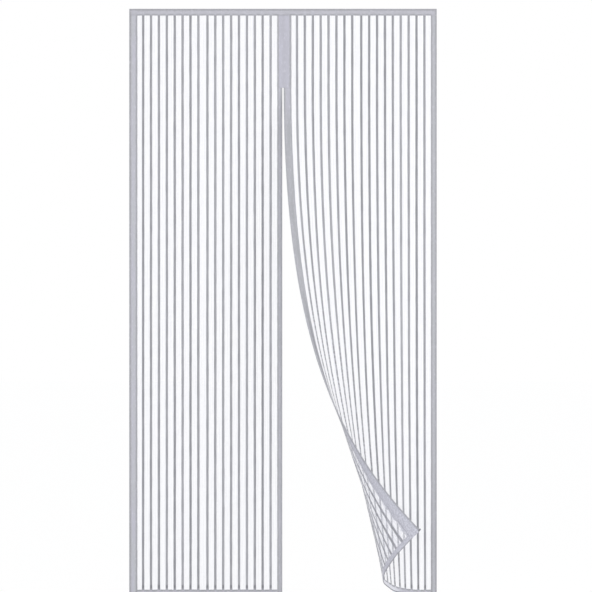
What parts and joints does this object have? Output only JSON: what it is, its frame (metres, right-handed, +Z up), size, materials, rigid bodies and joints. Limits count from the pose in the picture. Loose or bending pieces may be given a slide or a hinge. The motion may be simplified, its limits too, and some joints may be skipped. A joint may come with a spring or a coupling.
{
  "type": "magnetic insect screen",
  "caption": "Doorway insect screen: two striped net panels under one header, held closed by magnets; the right panel is drawn aside with its corner folded over.",
  "frame": {"origin": "middle of the back face of the fastening strip on the header", "axes": "+Z up along the hanging height, +Y out of the screen's back towards the door frame, +X to the right seen from the front"},
  "size_m": [1.1, 0.3571, 2.1],
  "materials": {
    "net": "fine open net with denser woven stripes",
    "woven_strip": "matt woven edging, sewn",
    "magnet": "dark sintered bar",
    "loop_pile": "brushed loop pile"
  },
  "bodies": {
    "root": {"left_net_panel": "net", "right_net_panel": "net", "header_strip": "woven_strip", "left_side_strip": "woven_strip", "right_side_strip": "woven_strip", "left_centre_strip": "woven_strip", "right_centre_strip": "woven_strip", "centre_join_strip": "woven_strip", "left_bottom_hem": "woven_strip", "right_bottom_hem": "woven_strip", "left_magnet_01": "magnet", "left_magnet_02": "magnet", "left_magnet_03": "magnet", "left_magnet_04": "magnet", "left_magnet_05": "magnet", "left_magnet_06": "magnet", "left_magnet_07": "magnet", "left_magnet_08": "magnet", "left_magnet_09": "magnet", "left_magnet_10": "magnet", "left_magnet_11": "magnet", "left_magnet_12": "magnet", "right_magnet_01": "magnet", "right_magnet_02": "magnet", "right_magnet_03": "magnet", "right_magnet_04": "magnet", "right_magnet_05": "magnet", "right_magnet_06": "magnet", "right_magnet_07": "magnet", "right_magnet_08": "magnet", "right_magnet_09": "magnet", "right_magnet_10": "magnet", "right_magnet_11": "magnet", "right_magnet_12": "magnet", "header_fastener": "loop_pile", "left_side_fastener": "loop_pile", "right_side_fastener": "loop_pile"}
  },
  "joints": []
}
